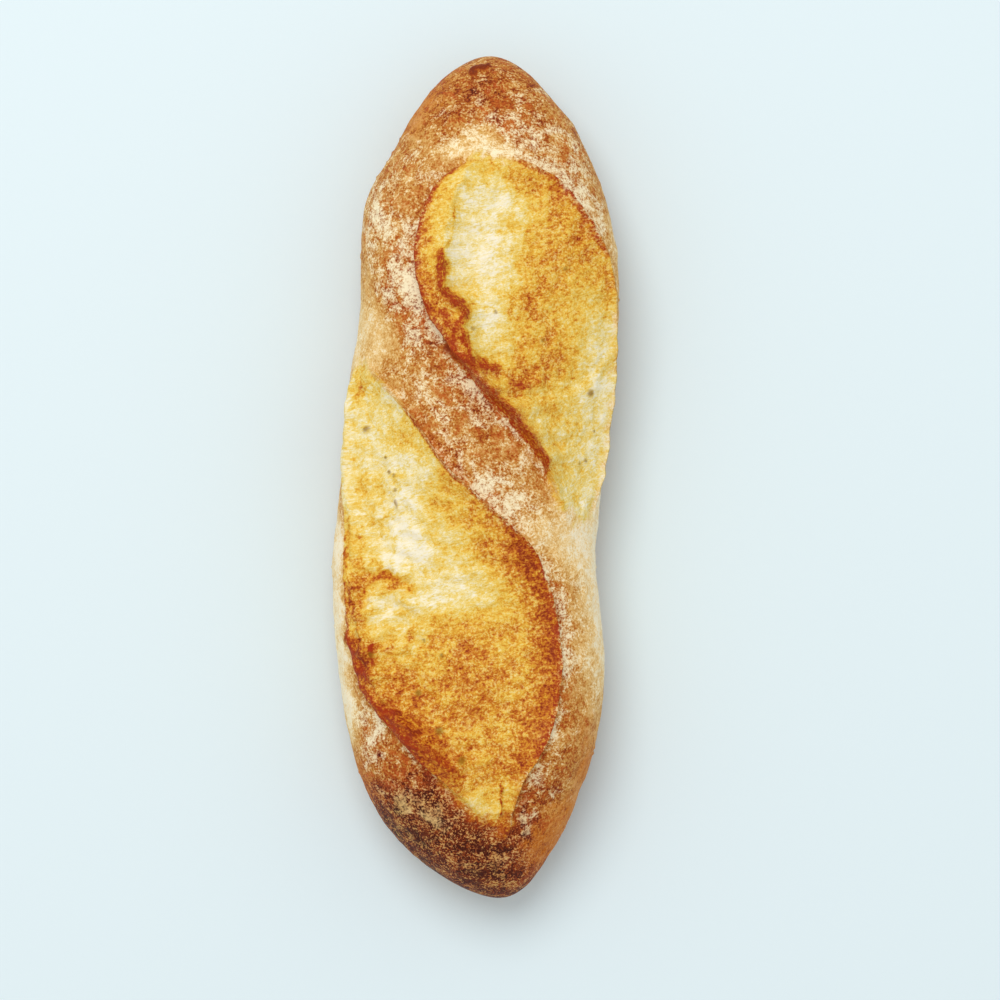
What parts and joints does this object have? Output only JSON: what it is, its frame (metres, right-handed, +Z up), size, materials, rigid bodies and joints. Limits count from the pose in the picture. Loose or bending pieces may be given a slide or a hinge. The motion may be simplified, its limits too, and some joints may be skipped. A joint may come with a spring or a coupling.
{
  "type": "demi baguette",
  "caption": "Short crusty bread loaf, floured and slashed on the slant, with two torn openings that have lifted ears and a risen golden crumb.",
  "frame": {"origin": "middle of the loaf's footprint box, on the plane of its flat base", "axes": "+Z up, +Y along the loaf towards the end with the fuller opening, +X to its right seen from above"},
  "size_m": [0.078, 0.23, 0.0514],
  "materials": {
    "crust": "matt baked crust with flour, golden crumb in the torn openings"
  },
  "bodies": {
    "root": {"loaf": "crust"}
  },
  "joints": []
}
